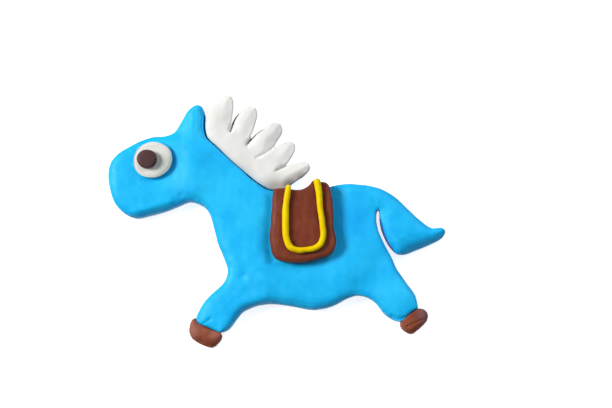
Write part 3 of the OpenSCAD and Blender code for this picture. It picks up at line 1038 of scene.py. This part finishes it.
along = add_node(trim_tree, "GeometryNodeSplineParameter")
whole = add_node(trim_tree, "GeometryNodeSplineLength")
far = add_node(trim_tree, "ShaderNodeMath", {0: whole.outputs["Length"], 1: along.outputs["Length"]},
               operation="SUBTRACT")
near = add_node(trim_tree, "ShaderNodeMath", {0: along.outputs["Length"], 1: far},
                operation="MINIMUM")
in_radii = add_node(trim_tree, "ShaderNodeMath", {0: near, 1: radius},
                    operation="DIVIDE", use_clamp=True)
missing = add_node(trim_tree, "ShaderNodeMath", {0: 1.0, 1: in_radii}, operation="SUBTRACT")
squared = add_node(trim_tree, "ShaderNodeMath", {0: missing, 1: 2.0}, operation="POWER")
rest = add_node(trim_tree, "ShaderNodeMath", {0: 1 + DOME_FLAT, 1: squared}, operation="SUBTRACT")
dome = add_node(trim_tree, "ShaderNodeMath", {0: rest}, operation="SQRT")
domed = add_node(trim_tree, "ShaderNodeMath", {0: radius, 1: dome}, operation="MULTIPLY")
thick = add_node(trim_tree, "GeometryNodeSetCurveRadius", {"Curve": walk, "Radius": domed})
circle = add_node(trim_tree, "GeometryNodeCurvePrimitiveCircle", {"Resolution": 28, "Radius": 1.0})
swept = add_node(trim_tree, "GeometryNodeCurveToMesh",
                 {"Curve": thick, "Profile Curve": circle, "Scale": share, "Fill Caps": True})
print("dome and sweep bring the tree to", len(trim_tree.nodes), "nodes")

# %% [markdown]
# The swept tube is round everywhere. Noise pushes its skin in and out a little, as fingertips
# do, and every point below the saddle's face is raised to it, which gives the pressed flat.

# %% The strand's skin
STRAND_LUMPS = 3.0

spot = add_node(trim_tree, "GeometryNodeInputPosition")
lumpy = add_node(trim_tree, "ShaderNodeTexNoise",
                 {"Vector": spot, "Scale": 1 / (STRAND_LUMPS * MM), "Detail": 1.0})
centred = add_node(trim_tree, "ShaderNodeMath", {0: lumpy, 1: 0.5}, operation="SUBTRACT")
offset = add_node(trim_tree, "ShaderNodeMath", {0: centred, 1: trim_in.outputs["Waver"]},
                  operation="MULTIPLY")
outwards = add_node(trim_tree, "GeometryNodeInputNormal")
push = add_node(trim_tree, "ShaderNodeVectorMath", {0: outwards, "Scale": offset}, operation="SCALE")
wavered = add_node(trim_tree, "GeometryNodeSetPosition", {"Geometry": swept, "Offset": push})
spread = add_node(trim_tree, "ShaderNodeSeparateXYZ", {0: spot})
raised = add_node(trim_tree, "ShaderNodeMath", {0: spread.outputs["Z"], 1: trim_in.outputs["Seat"]},
                  operation="MAXIMUM")
laid = add_node(trim_tree, "ShaderNodeCombineXYZ",
                {"X": spread.outputs["X"], "Y": spread.outputs["Y"], "Z": raised})
pressed = add_node(trim_tree, "GeometryNodeSetPosition", {"Geometry": wavered, "Position": laid})
soft = add_node(trim_tree, "GeometryNodeSetShadeSmooth", {"Geometry": pressed})
real = add_node(trim_tree, "GeometryNodeRealizeInstances", {"Geometry": soft})
coloured = add_node(trim_tree, "GeometryNodeSetMaterial",
                    {"Geometry": real, "Material": trim_in.outputs["Clay"]})
add_node(trim_tree, "NodeGroupOutput", {"Geometry": coloured})
print("strand tree has", len(trim_tree.nodes), "nodes")

# %% [markdown]
# Clay as a material
#
# Oil-based modelling clay is a mix of wax, oil and chalk. Smoothed with the fingers it is matt
# with a faint broad sheen, for which an IOR of about 1.45 and a roughness near 0.5 are usual.
# Its surface is never one even colour: the wax carries smears in the direction that the finger
# moved, the chalk leaves a fine grain, and dust and nails leave small pits.
#
# One function builds this graph for every colour. The grain of the real clay is finer than the
# picture can show, so it is drawn about half a millimetre wide, as coarse as it needs to be.
# A piece may also have spots of colour: each has a place and a radius in millimetres, a colour
# and a strength. Most spots are painted light and shade: paler where a surface catches the lamp
# and darker where shade or a shadow falls. A few are partly colour picked up from a neighbour and
# partly a painted reflection of it. The widths, heights and depths below are millimetres too.
# Each range is the part of a pattern's values that the change from one colour or finish to the
# next takes up: the narrower it is, the sharper the patches.

# %% Clay material
CLAY_IOR = 1.45
GRAIN = 0.5
CLOUD = 9.0
CLOUD_RANGE = (0.35, 0.6)
SMEAR = (3.4, 1.7, 1.7)
SMEAR_RANGE = (0.48, 0.8)
SMEAR_HEIGHT = 0.03
SPOT_CORE = 0.2
PIT_GAP = 3.2
PIT_RANGE = (0.04, 0.1)
PIT_SHARE = 0.3
PIT_DEPTH = 0.08
DULL_RANGE = (0.3, 0.7)
DULL_CHANGE = 0.06


def clay(name, colour, darker, lighter, smear_turn=0.0, grain_height=0.02, rough=0.5, shine=0.28,
         painted_light_and_stains=()):
    """Finger-smoothed clay: a colour, its dark and light smears, and the way the finger moved."""
    material = bpy.data.materials.new(name)
    material.use_nodes = True
    tree = material.node_tree
    tree.nodes.clear()
    place = add_node(tree, "ShaderNodeTexCoord").outputs["Object"]

    clouds = add_node(tree, "ShaderNodeTexNoise",
                      {"Vector": place, "Scale": 1 / (CLOUD * MM), "Detail": 2.0})
    turned = add_node(tree, "ShaderNodeMapping",
                      {"Vector": place, "Rotation": (0, 0, math.radians(smear_turn)),
                       "Scale": [width * MM for width in SMEAR]}, vector_type="TEXTURE")
    smears = add_node(tree, "ShaderNodeTexNoise", {"Vector": turned, "Scale": 1.0, "Detail": 3.0})
    grain = add_node(tree, "ShaderNodeTexNoise",
                     {"Vector": place, "Scale": 1 / (GRAIN * MM), "Detail": 3.0})

    shade = add_node(tree, "ShaderNodeMapRange",
                     {"Value": clouds, "From Min": CLOUD_RANGE[0], "From Max": CLOUD_RANGE[1]})
    streak = add_node(tree, "ShaderNodeMapRange",
                      {"Value": smears, "From Min": SMEAR_RANGE[0], "From Max": SMEAR_RANGE[1]})
    base = add_node(tree, "ShaderNodeMix", {0: shade, 6: linear(darker), 7: linear(colour)},
                    data_type="RGBA")
    base = add_node(tree, "ShaderNodeMix", {0: streak, 6: base.outputs[2], 7: linear(lighter)},
                    data_type="RGBA")

    # Each spot blends in a colour: mostly painted light, painted shade or a painted reflection, a few
    # partly stains.
    for spot, radius, spot_colour, strength in painted_light_and_stains:
        centre = tuple(v * MM for v in spot)
        away = add_node(tree, "ShaderNodeVectorMath", {0: place, 1: centre}, operation="DISTANCE")
        share = add_node(tree, "ShaderNodeMapRange",
                         {"Value": away.outputs["Value"], "From Min": radius * MM,
                          "From Max": SPOT_CORE * radius * MM, "To Min": 0.0, "To Max": strength},
                         interpolation_type="SMOOTHSTEP")
        base = add_node(tree, "ShaderNodeMix", {0: share, 6: base.outputs[2], 7: linear(spot_colour)},
                        data_type="RGBA")

    cells = add_node(tree, "ShaderNodeTexVoronoi", {"Vector": place, "Scale": 1 / (PIT_GAP * MM)})
    pit = add_node(tree, "ShaderNodeMapRange",
                   {"Value": cells.outputs["Distance"], "From Min": PIT_RANGE[0],
                    "From Max": PIT_RANGE[1], "To Min": 1.0, "To Max": 0.0},
                   interpolation_type="SMOOTHSTEP")
    chosen = add_node(tree, "ShaderNodeMath", {0: cells.outputs["Color"], 1: 1 - PIT_SHARE},
                      operation="GREATER_THAN")
    pit = add_node(tree, "ShaderNodeMath", {0: pit, 1: chosen}, operation="MULTIPLY")
    base = add_node(tree, "ShaderNodeMix", {0: pit, 6: base.outputs[2], 7: linear(darker)},
                    data_type="RGBA")

    height = 0.0
    for pattern, rise_in_mm in ((grain, grain_height), (smears, SMEAR_HEIGHT), (pit, -PIT_DEPTH)):
        height = add_node(tree, "ShaderNodeMath", {0: pattern, 1: rise_in_mm, 2: height},
                          operation="MULTIPLY_ADD")
    bump = add_node(tree, "ShaderNodeBump", {"Height": height, "Distance": MM, "Strength": 1.0})
    dull = add_node(tree, "ShaderNodeMapRange",
                    {"Value": smears, "From Min": DULL_RANGE[0], "From Max": DULL_RANGE[1],
                     "To Min": rough + DULL_CHANGE, "To Max": rough - DULL_CHANGE})
    skin = add_node(tree, "ShaderNodeBsdfPrincipled",
                    {"Base Color": base.outputs[2], "Roughness": dull, "IOR": CLAY_IOR,
                     "Specular IOR Level": shine, "Normal": bump})
    add_node(tree, "ShaderNodeOutputMaterial", {"Surface": skin})
    return material


# %% [markdown]
# The clays
#
# The blue was smoothed along the neck and the back, the white along the locks and the brown
# across the saddle, so each has smears of its own. The blue has painted light: it is paler where
# the neck, withers, cheek, ear and hind leg catch the lamp, and a painted shade makes it deeper
# on the rump. The eye's white has a painted shadow on the pupil's far side, and the strand a
# painted shade along the lower side of its U's lowest bend. The white has painted shade and a
# painted reflection of the saddle's brown where it lies above the saddle, partly brown picked up
# from it, and painted shade at the foot of its slits. The hooves are the saddle's brown, but they
# were handled most: their grain is coarser. The front one has painted light, paler at its ends,
# and the hind one is bluish grey towards its upper right and paler at its left end.

# %% The clays
# Spots on the blue: painted light, paler where the neck, withers, cheek, ear and hind leg catch the
# lamp, and painted shade, deeper, on the rump.
blue = clay("finger_smoothed_blue_clay", "14c2fd", "0abafa", "24c8ff", smear_turn=-35,
            painted_light_and_stains=[((-18.5, 9, 7), 9, "2fd4ff", 0.45), ((-8, 1.6, 7), 8, "2fd4ff", 0.45),
                     ((35.5, -22, 7), 7, "2fd4ff", 0.45), ((-25, 29, 7), 6, "2fd4ff", 0.45),
                     ((-29.6, 12, 7), 7, "34c6ff", 0.5), ((22, 0, 7), 10, "00a8fa", 0.45)])
# Spots on the white: painted shade and a painted reflection of the saddle's brown where the root and
# lowest lock lie above the saddle, partly brown picked up from it, and painted shade, dark grey, at the
# foot of the slits between the locks.
white = clay("finger_smoothed_white_clay", "f1ede5", "e9e5dc", "f5f1e9", smear_turn=50,
             painted_light_and_stains=[((-0.5, 9.3, 6.5), 5.5, "8c8474", 0.48), ((3.5, 10.6, 6), 3, "9a8468", 0.6),
                      ((7.5, 13, 5.5), 2.5, "9a8468", 0.5), ((-13.4, 28.5, 2), 4.0, "444240", 0.75),
                      ((-11.6, 31.6, 2), 3.5, "444240", 0.9), ((-8, 24, 2), 4.0, "444240", 0.75),
                      ((-5.6, 26.3, 2), 3.5, "444240", 0.9), ((1.8, 15.8, 2), 4.0, "444240", 0.5)])
# Spot on the ivory: a painted shadow, grey, on the pupil's far side.
ivory = clay("pressed_ivory_clay", "eae6dc", "e2ded4", "f0ece4", grain_height=0.015,
             painted_light_and_stains=[((-33.5, 16, 8.4), 5.5, "bbc3b6", 0.6)])
dark = clay("pressed_dark_clay", "583a38", "4c2f2e", "664644", grain_height=0.015)
brown = clay("pressed_brown_clay", "803921", "75301a", "8e442b", smear_turn=80)
# Spots on the front hoof: painted light, paler at both ends.
painted_light_brown = clay("painted_light_brown_clay", "8c442b", "763422", "a25839", smear_turn=20, grain_height=0.05,
                  rough=0.55, painted_light_and_stains=[((-25.5, -32.5, 6), 4.5, "bc7c68", 0.5),
                                       ((-17.5, -34, 6), 4, "b06a58", 0.7)])
printed_brown = clay("printed_brown_clay", "8c442b", "763422", "a25839", smear_turn=20,
                     grain_height=0.05, rough=0.55,
                     painted_light_and_stains=[((44.5, -28, 6), 4, "88666a", 0.6), ((38, -31, 6), 2.5, "ae5e46", 0.5)])
# Spots on the yellow: painted shade, darker ochre, along the lower side of the U's lowest bend.
yellow = clay("rolled_yellow_clay", "ffdb00", "f8cc00", "ffe400", smear_turn=90, shine=0.08,
              painted_light_and_stains=[((5.2, -10.2, 10.3), 2.8, "a87c00", 0.7),
                       ((8.4, -10.7, 10.3), 2.8, "a87c00", 0.7),
                       ((11.6, -10.1, 10.3), 2.8, "a87c00", 0.7)])
print(len(bpy.data.materials), "materials")

# %% [markdown]
# The strand becomes a mesh
#
# The tree now gets its values, each by its socket's identifier, and its clay. The evaluated
# result is copied to a plain mesh, and the curve with its tree is taken away.

# %% The strand as a plain mesh
rolled = strand.modifiers.new("rolled_strand", "NODES")
rolled.node_group = trim_tree
for name, value in TRIM_INPUTS.items():
    rolled[identifiers[name]] = value
rolled[material_socket.identifier] = yellow
depsgraph = bpy.context.evaluated_depsgraph_get()
trim_mesh = bpy.data.meshes.new_from_object(strand.evaluated_get(depsgraph))
trim_mesh.name = "trim_clay"
trim = bpy.data.objects.new("trim_clay", trim_mesh)
scene.collection.objects.link(trim)
strand.modifiers.clear()
bpy.data.objects.remove(strand)
print("strand has", len(trim_mesh.polygons), "faces and", len(trim_mesh.materials), "material")

# %% [markdown]
# In its place
#
# Every lump gets its clay, rides on the one body of the imported model and stands for the
# measured solid that it was copied from, which is hidden.

# %% Place the lumps
LUMPS = [(body, "body", "body_clay", blue), (mane, "mane", "mane_clay", white),
         (eye_white, "eye_white", "eye_white_clay", ivory),
         (eye_pupil, "eye_pupil", "eye_pupil_clay", dark),
         (saddle, "saddle", "saddle_clay", brown), (trim, "saddle_trim", "trim_clay", yellow),
         (front_hoof, "front_hoof", "hoof_clay", painted_light_brown),
         (hind_hoof, "hind_hoof", "hoof_clay", printed_brown)]
for lump, node, slot, material in LUMPS:
    lump.data.materials.clear()
    lump.data.materials.append(material)
    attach(lump, "root")
    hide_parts(node)
    print(lump.name, "stands for", node)
